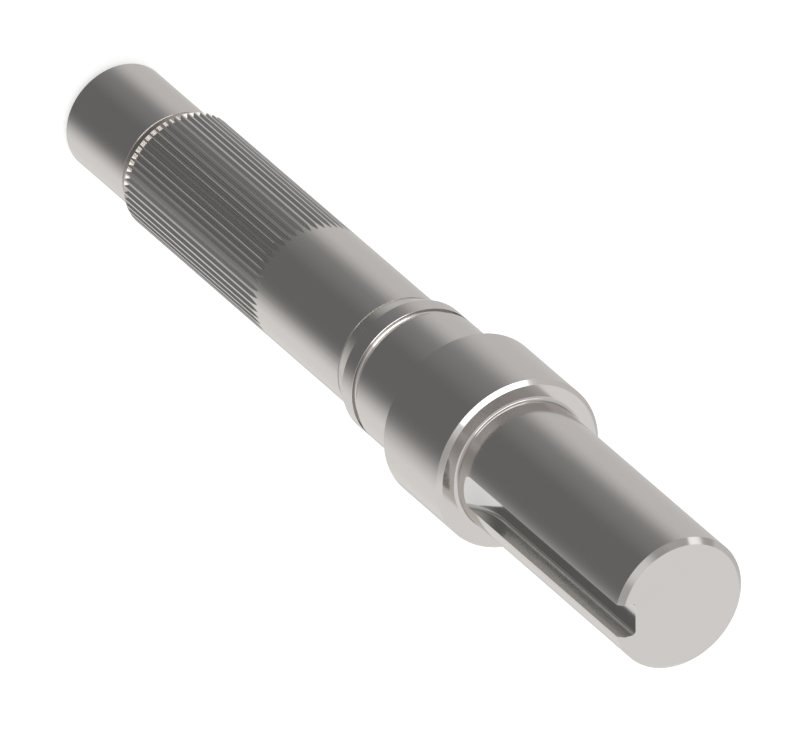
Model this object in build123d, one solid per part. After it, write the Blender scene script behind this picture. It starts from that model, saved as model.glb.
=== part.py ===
from build123d import *
from math import acos, degrees, radians, tan
import os

# Keyed and splined drive shaft, turned from one steel bar, in millimetres.
# It stands on the end of its pilot journal: the shaft's axis is +Z, the origin is the
# centre of that end face, and the keyway opens towards +X.

# Pilot journal at the foot, for the small support bearing
PILOT_DIAMETER = 31.75
PILOT_LENGTH = 32.25
PILOT_CHAMFER = 1.5

# Spline: fine serrations for a hub that is pressed on over the pilot journal. The tooth
# spaces are 90 degree vees. They start against the back of the ramp, and at the top the
# round cutter lifts out of them.
HUB_CLEARANCE = 1.125
TOOTH_COUNT = 54
TOOTH_DEPTH = 0.75
SPACE_BOTTOM_WIDTH = 0.1
SPACE_FLANK_ANGLE = 45.0
SPLINE_LAND = 0.15
SPLINE_LENGTH = 71.3
SPLINE_CUTTER_RADIUS = 15.0

# Body: the spline and the plain stretch above it, turned to one diameter
BODY_LENGTH = 117.85

# Ramps: the shallow cones that lead a fitted part onto the spline and onto the seat
SPLINE_RAMP_ANGLE = 27.5
SEAT_RAMP_ANGLE = 20.0
RAMP_FOOT_FILLET = 1.0

# Bearing seat, with the groove of the ring that keeps the bearing against the collar
SEAT_DIAMETER = 40.0
SEAT_LENGTH = 35.8
SEAT_FILLET = 0.8
BEARING_WIDTH = 23.0
RING_THICKNESS = 1.57
GROOVE_DEPTH = 1.25
GROOVE_WIDTH = 2.5

# Collar, the shaft's largest diameter
COLLAR_DIAMETER = 49.2
COLLAR_WIDTH = 28.9
COLLAR_BACK_CHAMFER = 0.3
COLLAR_FRONT_CHAMFER = 1.2

# Drive journal with the keyway, at the top
DRIVE_DIAMETER = 38.1
DRIVE_LENGTH = 83.5
DRIVE_CHAMFER = 1.5
SHOULDER_FILLET = 1.0

# Keyway: flat floor to the end face, and a curved end left by the disc cutter, which
# stops clear of the shoulder
KEY_WIDTH = 9.525
KEY_DEPTH = 5.36
KEY_SHOULDER_GAP = 3.75
KEY_CUTTER_RADIUS = 19.05
KEY_CORNER_FILLET = 1.0

# How far the cutters reach past the metal that they remove
CUTTER_CLEARANCE = 0.2


def ramp_rise(start_radius, end_radius, angle):
    """Height that a cone takes between two radii, at an angle to the axis."""
    return (end_radius - start_radius) / tan(radians(angle))


def run_out_length(depth, cutter_radius):
    """Length along the shaft over which a round cutter rises out of a cut of this depth."""
    return (2 * cutter_radius * depth - depth**2) ** 0.5


def lift_out_angle(depth, cutter_radius):
    """Turn about the cutter's centre after which its rim has left a cut of this depth."""
    return degrees(acos(1 - (depth + CUTTER_CLEARANCE) / cutter_radius))


pilot_radius = PILOT_DIAMETER / 2
root_radius = pilot_radius + HUB_CLEARANCE
body_radius = root_radius + TOOTH_DEPTH
seat_radius = SEAT_DIAMETER / 2
groove_radius = seat_radius - GROOVE_DEPTH
collar_radius = COLLAR_DIAMETER / 2
drive_radius = DRIVE_DIAMETER / 2

# Heights above the foot, at the start or the end of each stretch
pilot_top = PILOT_LENGTH
body_foot = pilot_top + ramp_rise(pilot_radius, body_radius, SPLINE_RAMP_ANGLE)
body_top = pilot_top + BODY_LENGTH
seat_foot = body_top + ramp_rise(body_radius, seat_radius, SEAT_RAMP_ANGLE)
collar_foot = body_top + SEAT_LENGTH
collar_top = collar_foot + COLLAR_WIDTH
shaft_top = collar_top + DRIVE_LENGTH


def turned_blank():
    """The bar as it leaves the lathe: half of its outline, revolved about the axis."""
    groove_foot = collar_foot - BEARING_WIDTH - RING_THICKNESS
    groove_top = groove_foot + GROOVE_WIDTH

    pilot_corner = (pilot_radius, pilot_top)
    body_corner = (body_radius, body_top)
    seat_corner = (seat_radius, collar_foot)
    shoulder_corner = (drive_radius, collar_top)

    outline = Polyline(
        (0, 0),
        (pilot_radius - PILOT_CHAMFER, 0),
        (pilot_radius, PILOT_CHAMFER),
        pilot_corner,
        (body_radius, body_foot),
        body_corner,
        (seat_radius, seat_foot),
        (seat_radius, groove_foot),
        (groove_radius, groove_foot),
        (groove_radius, groove_top),
        (seat_radius, groove_top),
        seat_corner,
        (collar_radius - COLLAR_BACK_CHAMFER, collar_foot),
        (collar_radius, collar_foot + COLLAR_BACK_CHAMFER),
        (collar_radius, collar_top - COLLAR_FRONT_CHAMFER),
        (collar_radius - COLLAR_FRONT_CHAMFER, collar_top),
        shoulder_corner,
        (drive_radius, shaft_top - DRIVE_CHAMFER),
        (drive_radius - DRIVE_CHAMFER, shaft_top),
        (0, shaft_top),
        close=True,
    )
    section = Sketch() + make_face(outline)
    rounded = [(pilot_corner, RAMP_FOOT_FILLET), (body_corner, RAMP_FOOT_FILLET)]
    rounded += [(seat_corner, SEAT_FILLET), (shoulder_corner, SHOULDER_FILLET)]
    for corner, radius in rounded:
        vertex = section.vertices().sort_by_distance((*corner, 0))[0]
        section = fillet(vertex, radius)
    return revolve(Plane.XZ * section, Axis.Z)


def tooth_space():
    """What the spline cutter removes between two teeth, on the +X side of the shaft."""
    spaces_foot = body_foot + SPLINE_LAND
    run_out = run_out_length(TOOTH_DEPTH, SPLINE_CUTTER_RADIUS)
    full_depth_top = spaces_foot + SPLINE_LENGTH - run_out
    height = TOOTH_DEPTH + CUTTER_CLEARANCE
    half_bottom = SPACE_BOTTOM_WIDTH / 2
    half_mouth = half_bottom + height * tan(radians(SPACE_FLANK_ANGLE))
    section = Plane.XY.offset(full_depth_top) * make_face(
        Polyline(
            (root_radius, -half_bottom),
            (root_radius + height, -half_mouth),
            (root_radius + height, half_mouth),
            (root_radius, half_bottom),
            close=True,
        )
    )
    straight = extrude(section, full_depth_top - spaces_foot, dir=(0, 0, -1))
    cutter_axis = Axis((root_radius + SPLINE_CUTTER_RADIUS, 0, full_depth_top), (0, 1, 0))
    lift_out = revolve(section, cutter_axis, lift_out_angle(TOOTH_DEPTH, SPLINE_CUTTER_RADIUS))
    return straight + lift_out


def keyway():
    """What the disc cutter removes for the key, open at the end face."""
    floor_radius = drive_radius - KEY_DEPTH
    floor_foot = collar_top + KEY_SHOULDER_GAP + run_out_length(KEY_DEPTH, KEY_CUTTER_RADIUS)
    height = KEY_DEPTH + CUTTER_CLEARANCE
    slot = Rectangle(height, KEY_WIDTH, align=(Align.MIN, Align.CENTER))
    slot = fillet(slot.vertices().group_by(Axis.X)[0], KEY_CORNER_FILLET)
    section = Plane((floor_radius, 0, floor_foot)) * slot
    straight = extrude(section, shaft_top - floor_foot + CUTTER_CLEARANCE, dir=(0, 0, 1))
    cutter_axis = Axis((floor_radius + KEY_CUTTER_RADIUS, 0, floor_foot), (0, -1, 0))
    lift_out = revolve(section, cutter_axis, lift_out_angle(KEY_DEPTH, KEY_CUTTER_RADIUS))
    return straight + lift_out


def shaft():
    """The finished piece, with one space of the spline in line with the keyway."""
    spaces = PolarLocations(0, TOOTH_COUNT) * tooth_space()
    return turned_blank() - keyway() - spaces


os.makedirs("parts", exist_ok=True)
export_step(shaft(), "parts/keyed_shaft.step")
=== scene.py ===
from math import acos, asin, atan2, cos, pi, radians, sin, sqrt, tan

import bmesh
import bpy
from mathutils import Matrix, Vector


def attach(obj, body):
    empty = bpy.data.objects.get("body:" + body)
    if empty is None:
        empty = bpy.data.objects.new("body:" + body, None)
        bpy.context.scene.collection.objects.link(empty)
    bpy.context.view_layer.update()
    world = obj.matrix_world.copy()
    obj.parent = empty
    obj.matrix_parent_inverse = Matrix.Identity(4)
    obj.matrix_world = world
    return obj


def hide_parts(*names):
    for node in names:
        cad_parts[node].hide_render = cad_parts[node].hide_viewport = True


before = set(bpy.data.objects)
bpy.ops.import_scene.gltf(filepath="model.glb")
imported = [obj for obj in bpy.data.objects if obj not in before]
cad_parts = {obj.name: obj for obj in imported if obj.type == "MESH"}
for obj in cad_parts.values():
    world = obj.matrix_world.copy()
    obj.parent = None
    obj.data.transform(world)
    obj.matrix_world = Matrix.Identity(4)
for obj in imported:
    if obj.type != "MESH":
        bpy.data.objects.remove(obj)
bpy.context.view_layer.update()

MM = 0.001


# Camera
# A long lens, far away, looks down at the drive end. It is turned about its own line of
# sight, so that the standing shaft lies from upper left to lower right in the picture.
camera_bearing = radians(-49.55)
camera_height = asin(0.75)
picture_turn = radians(40.904)
lens_length, film_width = 1400, 36
picture_width = 210.8 * MM
aim = Vector((0, 0, 152.2 * MM))

to_camera_flat = Vector((cos(camera_bearing), sin(camera_bearing), 0))
across = to_camera_flat.cross(Vector((0, 0, 1)))
to_camera = to_camera_flat * cos(camera_height) + Vector((0, 0, sin(camera_height)))
along = across.cross(to_camera)
right = along * cos(picture_turn) + across * sin(picture_turn)
up = across * cos(picture_turn) - along * sin(picture_turn)

# what is left of the lens's foreshortening is shared out between the ends and the middle
camera_shift = (right * 0.4 - up * 0.26 - across * 0.65) * MM
camera_distance = picture_width * lens_length / film_width

camera_data = bpy.data.cameras.new("camera")
camera_data.lens, camera_data.sensor_width = lens_length, film_width
camera_data.clip_start, camera_data.clip_end = 1, 30
camera = bpy.data.objects.new("camera", camera_data)
place = Matrix((right, up, to_camera)).transposed().to_4x4()
place.translation = aim + camera_shift + to_camera * camera_distance
camera.matrix_world = place
bpy.context.scene.collection.objects.link(camera)
bpy.context.scene.camera = camera


# Shaft blank
# One bar of steel, turned between centres: pilot journal, body, bearing seat with its ring
# groove, collar and drive journal. Its half outline is spun into the whole bar.
COLUMNS = 432
PILOT_RADIUS, ROOT_RADIUS, BODY_RADIUS = 15.875, 17.0, 17.75
SEAT_RADIUS, GROOVE_RADIUS, COLLAR_RADIUS, DRIVE_RADIUS = 20.0, 18.75, 24.6, 19.05
SPLINE_RAMP = radians(27.5)
PILOT_TOP = 32.25
BODY_FOOT = PILOT_TOP + (BODY_RADIUS - PILOT_RADIUS) / tan(SPLINE_RAMP)
BODY_TOP, SEAT_FOOT = 150.1, 156.2818
GROOVE_FOOT, GROOVE_TOP = 161.33, 163.83
COLLAR_FOOT, COLLAR_TOP = 185.9, 214.8
SHAFT_TOP = 298.3
END_CHAMFER, COLLAR_BACK_CHAMFER, COLLAR_FRONT_CHAMFER = 1.5, 0.3, 1.2
SEAT_FILLET, SHOULDER_FILLET = 0.8, 1.0
GROOVE_FACET, GROOVE_FILLET = 0.3, 0.2
EDGE, SPLINE_EDGE = 0.12, 0.05

# the tool leaves a fine relief at the foot of each ramp, which shows as a bright line
PILOT_RELIEF_RADIUS, PILOT_RELIEF_FOOT = PILOT_RADIUS - 0.14, PILOT_TOP - 0.45
PILOT_RELIEF_TOP = PILOT_TOP - 0.14 / tan(SPLINE_RAMP)
BODY_RELIEF_RADIUS, BODY_RELIEF_FOOT = BODY_RADIUS - 0.08, BODY_TOP - 0.15

# each corner: radius, height, rounding radius, facets of the rounding
outline = [
    (PILOT_RADIUS - END_CHAMFER, 0, 0, 0),
    (PILOT_RADIUS, END_CHAMFER, EDGE, 2),
    (PILOT_RADIUS, PILOT_RELIEF_FOOT, 0, 0),
    (PILOT_RELIEF_RADIUS, PILOT_RELIEF_FOOT, 0, 0),
    (PILOT_RELIEF_RADIUS, PILOT_RELIEF_TOP, 0, 0),
    (BODY_RADIUS, BODY_FOOT, SPLINE_EDGE, 1),
    (BODY_RADIUS, BODY_RELIEF_FOOT, 0, 0),
    (BODY_RELIEF_RADIUS, BODY_RELIEF_FOOT, 0, 0),
    (BODY_RELIEF_RADIUS, BODY_TOP, 0, 0),
    (SEAT_RADIUS, SEAT_FOOT, 2 * EDGE, 1),
    (SEAT_RADIUS, GROOVE_FOOT, EDGE, 1),
    (GROOVE_RADIUS, GROOVE_FOOT, GROOVE_FACET, 1),
    (GROOVE_RADIUS, GROOVE_TOP, GROOVE_FILLET, 3),
    (SEAT_RADIUS, GROOVE_TOP, EDGE, 2),
    (SEAT_RADIUS, COLLAR_FOOT, SEAT_FILLET, 12),
    (COLLAR_RADIUS - COLLAR_BACK_CHAMFER, COLLAR_FOOT, EDGE, 2),
    (COLLAR_RADIUS, COLLAR_FOOT + COLLAR_BACK_CHAMFER, EDGE, 2),
    (COLLAR_RADIUS, COLLAR_TOP - COLLAR_FRONT_CHAMFER, EDGE, 2),
    (COLLAR_RADIUS - COLLAR_FRONT_CHAMFER, COLLAR_TOP, EDGE, 2),
    (DRIVE_RADIUS, COLLAR_TOP, SHOULDER_FILLET, 12),
    (DRIVE_RADIUS, SHAFT_TOP - END_CHAMFER, EDGE, 2),
    (DRIVE_RADIUS - END_CHAMFER, SHAFT_TOP, 0, 0),
]
blank = bmesh.new()
corners = [blank.verts.new((radius * MM, 0, height * MM)) for radius, height, *_ in outline]
for lower, upper in zip(corners, corners[1:]):
    blank.edges.new((lower, upper))
turns = []
for below, corner, above in zip(corners, corners[1:], corners[2:]):
    turns.append((corner.co - below.co).angle(above.co - corner.co))
for corner, turn, (_, _, rounding, facets) in zip(corners[1:-1], turns, outline[1:-1]):
    if rounding:
        bmesh.ops.bevel(
            blank, geom=[corner], offset=rounding * MM * tan(turn / 2), offset_type="OFFSET",
            affect="VERTICES", segments=facets, profile=0.5, material=-1,
        )


def cut_row(height):
    """Adds a row of points to the half outline at a height."""
    bmesh.ops.bisect_plane(
        blank, geom=blank.verts[:] + blank.edges[:], dist=1e-7,
        plane_co=(0, 0, height * MM), plane_no=(0, 0, 1),
    )


# rows beside the large roundings keep the journals' shading straight
SUPPORT = 0.06
cut_row(COLLAR_FOOT - SEAT_FILLET - SUPPORT)
cut_row(COLLAR_TOP + SHOULDER_FILLET + SUPPORT)

# rows of the spline: two for the wall that its spaces start against, which is upright,
# and those of the run-out, where the cutter lifts out
SPLINE_LAND, SPLINE_LENGTH = 0.15, 71.3
SPACE_DEPTH = BODY_RADIUS - ROOT_RADIUS
CUTTER_RADIUS = 15.0
RUN_OUT = sqrt(2 * CUTTER_RADIUS * SPACE_DEPTH - SPACE_DEPTH**2)
RUN_OUT_ROWS = 16
SPACES_FOOT = BODY_FOOT + SPLINE_LAND
WALL_ROW = SPACES_FOOT + 0.02
FULL_DEPTH_TOP = SPACES_FOOT + SPLINE_LENGTH - RUN_OUT
SPACES_TOP = FULL_DEPTH_TOP + RUN_OUT
for height in (SPACES_FOOT, WALL_ROW, FULL_DEPTH_TOP, SPACES_TOP):
    cut_row(height)
for row in range(1, RUN_OUT_ROWS):
    cut_row(FULL_DEPTH_TOP + RUN_OUT * row / RUN_OUT_ROWS)

bmesh.ops.spin(
    blank, geom=blank.verts[:] + blank.edges[:], cent=(0, 0, 0), axis=(0, 0, 1),
    angle=2 * pi, steps=COLUMNS, use_merge=True,
)
bmesh.ops.holes_fill(blank, edges=[edge for edge in blank.edges if edge.is_boundary], sides=0)
bmesh.ops.recalc_face_normals(blank, faces=blank.faces[:])


# Spline
# 54 tooth spaces, 90 degree vees, cut lengthwise by a round cutter that lifts out at the
# top. Every eighth column of the blank is the middle of a space, and its neighbours go in.
TOOTH_COUNT = 54
HALF_BOTTOM = 0.05
FLANK = tan(radians(45))
NEAR = 0.001
pitch = 2 * pi / TOOTH_COUNT
columns_per_tooth = COLUMNS // TOOTH_COUNT

# counted from the middle of a space, these columns make its flat bottom, and go this far
# aside; those in between make the tooth's top, from the mouth of one space to the next
last_step = columns_per_tooth - 1
bottom_sides = {0: 0, 1: HALF_BOTTOM, last_step: -HALF_BOTTOM}
first_on_tooth, tooth_columns = 2, columns_per_tooth - 4


def bottom_radius(height):
    """Distance of a space's flat bottom from the axis, at a height."""
    lifted = max(height - FULL_DEPTH_TOP, 0)
    return ROOT_RADIUS + CUTTER_RADIUS - sqrt(CUTTER_RADIUS**2 - lifted**2)


def half_mouth(bottom):
    """Half the width of a space where it meets the round surface, found in a few rounds."""
    half = HALF_BOTTOM
    for _ in range(6):
        depth = sqrt(BODY_RADIUS**2 - half**2) - bottom
        half = HALF_BOTTOM + max(depth, 0) * FLANK
    return half


for vertex in blank.verts:
    height = vertex.co.z / MM
    if not SPACES_FOOT - NEAR < height < SPACES_TOP + NEAR:
        continue
    column = round(atan2(vertex.co.y, vertex.co.x) / (2 * pi / COLUMNS)) % COLUMNS
    step = column % columns_per_tooth
    middle = (column - step) * 2 * pi / COLUMNS
    bottom = bottom_radius(height)
    if step in bottom_sides:
        side = bottom_sides[step]
        surface = sqrt(BODY_RADIUS**2 - side**2)
        at_foot = height < SPACES_FOOT + NEAR
        flat = Vector((surface if at_foot else min(bottom, surface), side, 0))
    else:
        mouth = asin(half_mouth(bottom) / BODY_RADIUS)
        turn = mouth + (pitch - 2 * mouth) * (step - first_on_tooth) / tooth_columns
        flat = Vector((BODY_RADIUS * cos(turn), BODY_RADIUS * sin(turn), 0))
    if step == last_step:
        middle += pitch
    flat.rotate(Matrix.Rotation(middle, 3, "Z"))
    vertex.co.x, vertex.co.y = flat.x * MM, flat.y * MM
    if height < WALL_ROW + NEAR:
        vertex.co.z = SPACES_FOOT * MM
bmesh.ops.remove_doubles(blank, verts=blank.verts[:], dist=0.002 * MM)

shaft_mesh = bpy.data.meshes.new("shaft")
blank.to_mesh(shaft_mesh)
blank.free()
shaft = bpy.data.objects.new("shaft", shaft_mesh)
bpy.context.scene.collection.objects.link(shaft)


# Keyway
# Milled with a disc cutter from the end face: flat floor, rounded corners, and a curved
# end where the disc lifts out. The cutter's path is a solid that is taken from the bar.
KEY_WIDTH, KEY_DEPTH, KEY_CORNER = 9.525, 5.36, 1.0
KEY_CUTTER_RADIUS = 19.05
REACH = 0.5
keyway_foot = COLLAR_TOP + 3.75
floor_x = DRIVE_RADIUS - KEY_DEPTH
floor_foot = keyway_foot + sqrt(2 * KEY_CUTTER_RADIUS * KEY_DEPTH - KEY_DEPTH**2)
mouth_x = floor_x + KEY_DEPTH + REACH


def only_edges(items):
    """The edges among the items that an operator gives back."""
    return [item for item in items if isinstance(item, bmesh.types.BMEdge)]


path = bmesh.new()
ring = [
    path.verts.new((x * MM, y * MM, floor_foot * MM))
    for x, y in (
        (floor_x, -KEY_WIDTH / 2), (mouth_x, -KEY_WIDTH / 2),
        (mouth_x, KEY_WIDTH / 2), (floor_x, KEY_WIDTH / 2),
    )
]
for start, end in zip(ring, ring[1:] + ring[:1]):
    path.edges.new((start, end))
bmesh.ops.bevel(
    path, geom=[ring[0], ring[3]], offset=KEY_CORNER * MM, offset_type="OFFSET",
    affect="VERTICES", segments=12, profile=0.5, material=-1,
)
section_edges = path.edges[:]
lifted = bmesh.ops.spin(
    path, geom=path.verts[:] + section_edges,
    cent=((floor_x + KEY_CUTTER_RADIUS) * MM, 0, floor_foot * MM), axis=(0, -1, 0),
    angle=acos(1 - (KEY_DEPTH + REACH) / KEY_CUTTER_RADIUS), steps=36,
)
bmesh.ops.contextual_create(path, geom=only_edges(lifted["geom_last"]))
raised = bmesh.ops.extrude_edge_only(path, edges=section_edges)["geom"]
top = [item for item in raised if isinstance(item, bmesh.types.BMVert)]
bmesh.ops.translate(path, verts=top, vec=(0, 0, (SHAFT_TOP - floor_foot + REACH) * MM))
bmesh.ops.contextual_create(path, geom=only_edges(raised))
bmesh.ops.recalc_face_normals(path, faces=path.faces[:])
path_mesh = bpy.data.meshes.new("keyway_path")
path.to_mesh(path_mesh)
path.free()
path_object = bpy.data.objects.new("keyway_path", path_mesh)
bpy.context.scene.collection.objects.link(path_object)

cut = shaft.modifiers.new("keyway", "BOOLEAN")
cut.operation, cut.solver, cut.object = "DIFFERENCE", "EXACT", path_object
depsgraph = bpy.context.evaluated_depsgraph_get()
finished = bpy.data.meshes.new_from_object(shaft.evaluated_get(depsgraph))
shaft.modifiers.clear()
shaft.data = finished
bpy.data.objects.remove(path_object)

# the end faces are shaded flat, and every edge that turns by more than a facet is sharp
SHARP = radians(8.5)
UPRIGHT = 0.9999
edges = bmesh.new()
edges.from_mesh(shaft.data)
bmesh.ops.dissolve_degenerate(edges, dist=0.0005 * MM, edges=edges.edges[:])
for face in edges.faces:
    face.smooth = abs(face.normal.z) < UPRIGHT
for edge in edges.edges:
    edge.smooth = edge.is_manifold and edge.calc_face_angle() < SHARP
edges.to_mesh(shaft.data)
edges.free()
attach(shaft, "root")
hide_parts("keyed_shaft")


# Steel
# Bright carbon steel, unplated: ground journals and turned faces show fine marks round
# the axis, milled ones show them lengthwise, and the gloss is a little uneven. The spline's
# spaces and the keyway are painted a lighter tone, painted light against their shade.
class Socket:
    """A socket of a node tree: arithmetic on it adds Math nodes, and node() adds any other."""

    def __init__(self, tree, socket=None):
        self.tree, self.socket = tree, socket

    def node(self, kind, settings=None, inputs=None, output=0):
        made = self.tree.nodes.new("ShaderNode" + kind)
        for name, value in (settings or {}).items():
            setattr(made, name, value)
        for name, value in (inputs or {}).items():
            if isinstance(value, Socket):
                self.tree.links.new(value.socket, made.inputs[name])
            else:
                made.inputs[name].default_value = value
        return Socket(self.tree, made.outputs[output]) if made.outputs else made

    def math(self, operation, first, second):
        return self.node("Math", {"operation": operation}, {0: first, 1: second})

    def __add__(self, other):
        return self.math("ADD", self, other)

    def __radd__(self, other):
        return self.math("ADD", other, self)

    def __sub__(self, other):
        return self.math("SUBTRACT", self, other)

    def __rsub__(self, other):
        return self.math("SUBTRACT", other, self)

    def __mul__(self, other):
        return self.math("MULTIPLY", self, other)

    def __rmul__(self, other):
        return self.math("MULTIPLY", other, self)

    def ramp(self, low, high, at_low=0.0, at_high=1.0):
        """Goes smoothly from at_low to at_high while this value goes from low to high."""
        return self.node(
            "MapRange", {"interpolation_type": "SMOOTHSTEP"},
            {"Value": self, "From Min": low, "From Max": high, "To Min": at_low, "To Max": at_high},
        )

    def mix(self, first, second):
        """Goes from the first colour to the second while this value goes from 0 to 1."""
        return self.node("Mix", {"data_type": "RGBA"}, {0: self, 6: first, 7: second}, output=2)


def past(distance, size, blur):
    """1 where a distance is more than a size in mm, and 0 where it is less by the blur."""
    return distance.ramp((size - blur) * MM, size * MM)


def within(distance, size, blur):
    """1 where a distance is less than a size in mm, and 0 where it is more by the blur."""
    return distance.ramp(size * MM, (size + blur) * MM, 1.0, 0.0)


GROUND_DARK, GROUND_LIGHT = (0.600, 0.575, 0.556, 1), (0.618, 0.593, 0.575, 1)
# painted light: lighter tones for the spline's spaces and the keyway, which lift the shade in these
# recesses
SPLINE_SPACE_PAINTED_LIGHT, KEYWAY_PAINTED_LIGHT = (0.70, 0.682, 0.664, 1), (0.65, 0.64, 0.625, 1)
STEEL_AT_EDGE = (0.9, 0.89, 0.87, 1)

steel = bpy.data.materials.new("ground_steel")
steel.use_nodes = True
steel.node_tree.nodes.clear()
draft = Socket(steel.node_tree)
spot = draft.node("TexCoord", output="Object")
x, y, z = (spot.node("SeparateXYZ", inputs={0: spot}, output=axis) for axis in range(3))
from_axis = draft.math("POWER", x * x + y * y, 0.5)
aside = draft.math("POWER", y * y, 0.5)

# the cutters have been in the spline's spaces and in the keyway; these masks give them milled
# marks, and also the painted lighter tone against their shade
in_spaces = (
    within(from_axis, BODY_RADIUS - 0.05, 0.04)
    * past(z, SPACES_FOOT + 0.1, 0.2)
    * within(z, SPACES_TOP + 0.7, 1.0)
)
in_keyway = (
    within(aside, KEY_WIDTH / 2 + 0.0125, 0.04)
    * past(x, floor_x - 0.09, 0.1)
    * past(z, keyway_foot + 0.05, 0.2)
)
milled = in_keyway + in_spaces

rings = draft.node("Mapping", inputs={"Vector": spot, "Scale": (60, 60, 3500)})
turned_marks = draft.node(
    "TexNoise", inputs={"Vector": rings, "Scale": 1.0, "Detail": 3.0, "Roughness": 0.6},
)
strokes = draft.node("Mapping", inputs={"Vector": spot, "Scale": (1800, 1800, 25)})
milled_marks = draft.node("TexNoise", inputs={"Vector": strokes, "Scale": 1.0, "Detail": 2.0})
marks = turned_marks + (milled_marks * 0.3 - turned_marks) * milled
cloud = draft.node("TexNoise", inputs={"Vector": spot, "Scale": 45.0, "Detail": 2.0})
bump = draft.node("Bump", inputs={"Height": marks, "Strength": 0.1, "Distance": 0.01 * MM})
ground = cloud.mix(GROUND_DARK, GROUND_LIGHT)
# the tone varies at random over the ground steel, and the keyway and spline spaces get their
# lighter painted-light tones
tone_with_painted_light = in_keyway.mix(in_spaces.mix(ground, SPLINE_SPACE_PAINTED_LIGHT), KEYWAY_PAINTED_LIGHT)
surface = draft.node("BsdfPrincipled", inputs={
    "Base Color": tone_with_painted_light, "Metallic": 1.0, "Roughness": 0.1 + cloud * 0.03 + marks * 0.04,
    "Normal": bump, "Specular Tint": STEEL_AT_EDGE,
})
draft.node("OutputMaterial", inputs={"Surface": surface})
shaft.data.materials.clear()
shaft.data.materials.append(steel)


# Floor
# A plain white sheet. The camera sees it lit, a little over white, with the shaft's soft
# shadow; the steel mirrors the studio instead of it.
WHITE = (1, 1, 1, 1)
floor_mesh = bpy.data.meshes.new("floor")
sheet = bmesh.new()
just_below = Matrix.Translation((0, 0, -0.05 * MM))
bmesh.ops.create_grid(sheet, x_segments=1, y_segments=1, size=20, matrix=just_below)
sheet.to_mesh(floor_mesh)
sheet.free()
floor = bpy.data.objects.new("floor", floor_mesh)
bpy.context.scene.collection.objects.link(floor)
floor.visible_glossy = floor.visible_shadow = False
paper = bpy.data.materials.new("white_paper")
paper.use_nodes = True
paper.node_tree.nodes.clear()
draft = Socket(paper.node_tree)
lit = draft.node("BsdfDiffuse", inputs={"Color": (0.8, 0.8, 0.8, 1)})
seen = (
    draft.node("LightPath", output="Is Camera Ray")
    + draft.node("LightPath", output="Is Transmission Ray")
)
glow = draft.node("Emission", inputs={"Color": WHITE, "Strength": seen * 0.55})
both = draft.node("AddShader", inputs={0: lit, 1: glow})
draft.node("OutputMaterial", inputs={"Surface": both})
floor_mesh.materials.append(paper)


# Studio light
# White walls all round, which the steel mirrors too, and a dark one low on the camera's
# side that gives the journals their dark middle band. A stretch behind the shaft is dark
# too, and the paper's far end is a little greyer, which draws the rims of the journals.
studio = bpy.data.worlds.new("studio")
bpy.context.scene.world = studio
studio.use_nodes = True
studio.node_tree.nodes.clear()
draft = Socket(studio.node_tree)
way = draft.node("TexCoord", output="Generated")


def facing(aimed):
    """How far each direction in the studio faces one direction: 1 is straight at it."""
    return draft.node("VectorMath", {"operation": "DOT_PRODUCT"}, {0: way, 1: aimed}, output=1)


def aimed_at(bearing, height):
    """The direction at a bearing, in degrees from the camera's, and a height."""
    turned = Matrix.Rotation(radians(bearing), 3, "Z") @ to_camera_flat
    return turned * cos(radians(height)) + Vector((0, 0, sin(radians(height))))


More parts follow.
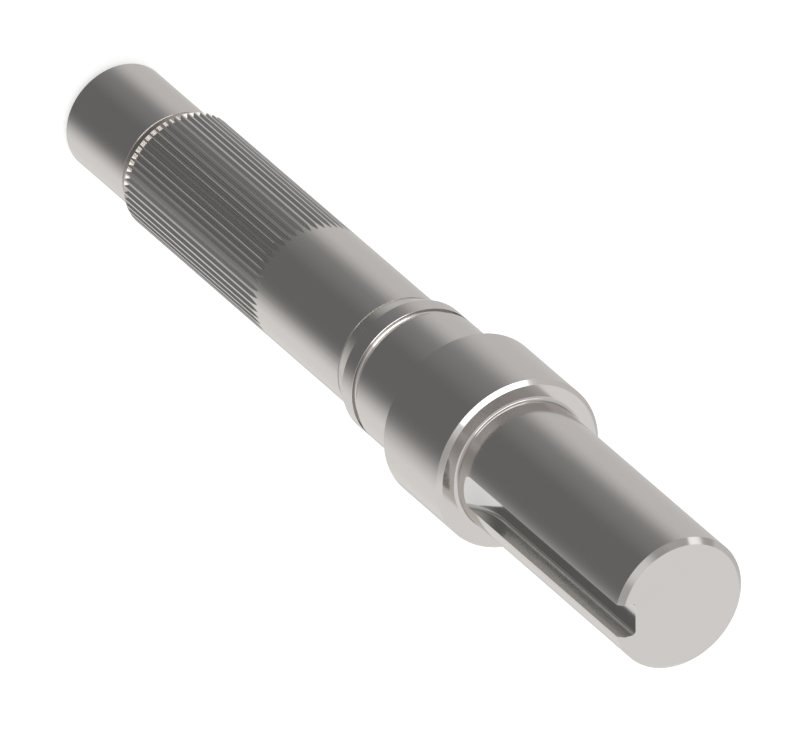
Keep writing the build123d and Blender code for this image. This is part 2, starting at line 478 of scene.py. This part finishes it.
toward, sideways = facing(aimed_at(0, 0)), facing(across)
straight_down = facing(aimed_at(0, -90))
dark_wall = facing(aimed_at(3, -54)).ramp(0.50, 0.92)
dark_stretch = (
    (sideways * sideways).ramp(0.006, 0.09, 1.0, 0.0)
    * toward.ramp(-0.52, -0.38)
    * straight_down.ramp(0.8, 0.88)
)
dark = draft.math("MAXIMUM", dark_wall, dark_stretch)
side_walls = sideways.ramp(0.05, 0.4, 1.0, 0.755)
camera_wall = toward.ramp(0.1, 0.5, 1.0, 0.56)
camera_lamp = facing(aimed_at(0, 44)).ramp(0.9, 0.99, 0.0, 0.35)
far_sheet = facing(aimed_at(180, -48.6)).ramp(0.93, 0.99, 1.0, 0.75)
room = side_walls * camera_wall * far_sheet + camera_lamp
dark_level = 0.2 + 0.08 * sideways.ramp(0.1, 0.5)
light = room + dark * (dark_level - room)
seen = (
    draft.node("LightPath", output="Is Camera Ray")
    + draft.node("LightPath", output="Is Transmission Ray")
)
shown = light + seen * (1 - light)
sky = draft.node("Background", inputs={"Color": WHITE, "Strength": shown})
draft.node("OutputWorld", inputs={"Surface": sky})


# Softbox and flag
# A curved softbox stands round the camera's side of the drive end. The steel alone mirrors
# it: in the chamfers, the ring groove, the ends of the tooth spaces and the edges. It fades
# at its far end, and a grey flag in front of it keeps its light off the flat end face.
def curved_screen(name, radius, low, high, start, sweep, strength):
    """A glowing screen, curved round the shaft's axis, that only the steel mirrors."""
    bent = bmesh.new()
    post = [
        bent.verts.new(to_camera_flat * radius * MM + Vector((0, 0, height * MM)))
        for height in (low, high)
    ]
    bent.edges.new(post)
    turned = Matrix.Rotation(radians(start), 3, "Z")
    bmesh.ops.rotate(bent, verts=bent.verts[:], cent=(0, 0, 0), matrix=turned)
    bmesh.ops.spin(
        bent, geom=bent.verts[:] + bent.edges[:], cent=(0, 0, 0), axis=(0, 0, 1),
        angle=radians(-sweep), steps=sweep // 2,
    )
    mesh = bpy.data.meshes.new(name)
    bent.to_mesh(mesh)
    bent.free()
    screen = bpy.data.objects.new(name, mesh)
    bpy.context.scene.collection.objects.link(screen)
    screen.visible_camera = screen.visible_diffuse = screen.visible_shadow = False
    front = bpy.data.materials.new(name + "_front")
    front.use_nodes = True
    front.node_tree.nodes.clear()
    draft = Socket(front.node_tree)
    glow = draft.node("Emission", inputs={"Color": WHITE, "Strength": strength})
    draft.node("OutputMaterial", inputs={"Surface": glow})
    mesh.materials.append(front)


curved_screen("softbox", radius=300, low=350, high=462, start=8, sweep=86, strength=2.8)
curved_screen("softbox_end", radius=300, low=350, high=462, start=-78, sweep=22, strength=1.4)
curved_screen("flag", radius=110, low=314, high=366, start=18, sweep=96, strength=0.5)
curved_screen("flag_end", radius=110, low=314, high=330, start=-78, sweep=32, strength=0.5)

bpy.context.scene.view_settings.view_transform = "Standard"
